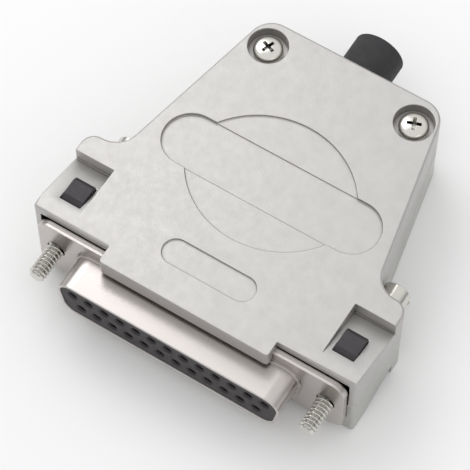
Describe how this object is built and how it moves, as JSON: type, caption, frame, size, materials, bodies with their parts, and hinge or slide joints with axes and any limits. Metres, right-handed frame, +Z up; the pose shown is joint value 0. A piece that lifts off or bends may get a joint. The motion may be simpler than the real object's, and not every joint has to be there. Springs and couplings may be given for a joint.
{
  "type": "d-sub hood",
  "caption": "Die-cast metal hood for a D-sub connector, with lift-off cover, jackscrews on snap clips, cable clamp, rubber bend relief and the socket connector it carries.",
  "frame": {"origin": "centre of the connector flange's front face, midway between the jackscrews", "axes": "+X across the contact row, -Y towards the mating connector, +Y towards the cable, +Z up through the cover"},
  "size_m": [0.0556, 0.0617, 0.016],
  "materials": {
    "cover_satin": "satin nickel plate on die-cast zinc",
    "shell_bright": "semi-gloss nickel plate on die-cast zinc",
    "screw_nickel": "bright nickel plate",
    "jackscrew_nickel": "bright nickel plate",
    "clamp_steel": "stamped, bright plated",
    "insert_zinc": "as-cast zinc",
    "connector_tin": "tin-plated drawn steel",
    "contact_gold": "gold flash",
    "relief_rubber": "matt moulded rubber",
    "clip_plastic": "matt moulded",
    "insulator_front": "glass-filled moulding",
    "insulator_rear": "glass-filled moulding"
  },
  "bodies": {
    "hood": {"lower_shell": "shell_bright", "cable_clamp": "clamp_steel", "grommet": "relief_rubber", "entry_insert_upper": "insert_zinc", "entry_insert_lower": "insert_zinc", "clip_left": "clip_plastic", "clip_right": "clip_plastic", "connector_front_shell": "connector_tin", "connector_rear_shell": "connector_tin", "front_insulator": "insulator_front", "rear_insulator": "insulator_rear", "contact_01": "contact_gold", "contact_02": "contact_gold", "contact_03": "contact_gold", "contact_04": "contact_gold", "contact_05": "contact_gold", "contact_06": "contact_gold", "contact_07": "contact_gold", "contact_08": "contact_gold", "contact_09": "contact_gold", "contact_10": "contact_gold", "contact_11": "contact_gold", "contact_12": "contact_gold", "contact_13": "contact_gold", "contact_14": "contact_gold", "contact_15": "contact_gold", "contact_16": "contact_gold", "contact_17": "contact_gold", "contact_18": "contact_gold", "contact_19": "contact_gold", "contact_20": "contact_gold", "contact_21": "contact_gold", "contact_22": "contact_gold", "contact_23": "contact_gold", "contact_24": "contact_gold", "contact_25": "contact_gold"},
    "cover": {"cover": "cover_satin"},
    "cover_screw_left": {"cover_screw_left": "screw_nickel"},
    "cover_screw_right": {"cover_screw_right": "screw_nickel"},
    "jackscrew_left": {"jackscrew_left": "jackscrew_nickel"},
    "jackscrew_right": {"jackscrew_right": "jackscrew_nickel"},
    "clamp_screw_left": {"clamp_screw_left": "screw_nickel"},
    "clamp_screw_right": {"clamp_screw_right": "screw_nickel"}
  },
  "joints": [
    {"name": "cover_lift", "type": "slide", "parent": "hood", "child": "cover", "axis": [0, 0, 1], "range_m": [0, 0.03]},
    {"name": "cover_screw_left_out", "type": "slide", "parent": "cover", "child": "cover_screw_left", "axis": [0, 0, 1], "range_m": [0, 0.015]},
    {"name": "cover_screw_right_out", "type": "slide", "parent": "cover", "child": "cover_screw_right", "axis": [0, 0, 1], "range_m": [0, 0.015]},
    {"name": "jackscrew_left_turn", "type": "hinge", "parent": "hood", "child": "jackscrew_left", "pos_m": [-0.02352, 0, 0], "axis": [0, 1, 0], "continuous": true},
    {"name": "jackscrew_right_turn", "type": "hinge", "parent": "hood", "child": "jackscrew_right", "pos_m": [0.02352, 0, 0], "axis": [0, 1, 0], "continuous": true},
    {"name": "clamp_screw_left_turn", "type": "hinge", "parent": "hood", "child": "clamp_screw_left", "pos_m": [-0.0081, 0.0362, 0], "axis": [0, 0, 1], "continuous": true},
    {"name": "clamp_screw_right_turn", "type": "hinge", "parent": "hood", "child": "clamp_screw_right", "pos_m": [0.0081, 0.0362, 0], "axis": [0, 0, 1], "continuous": true}
  ]
}
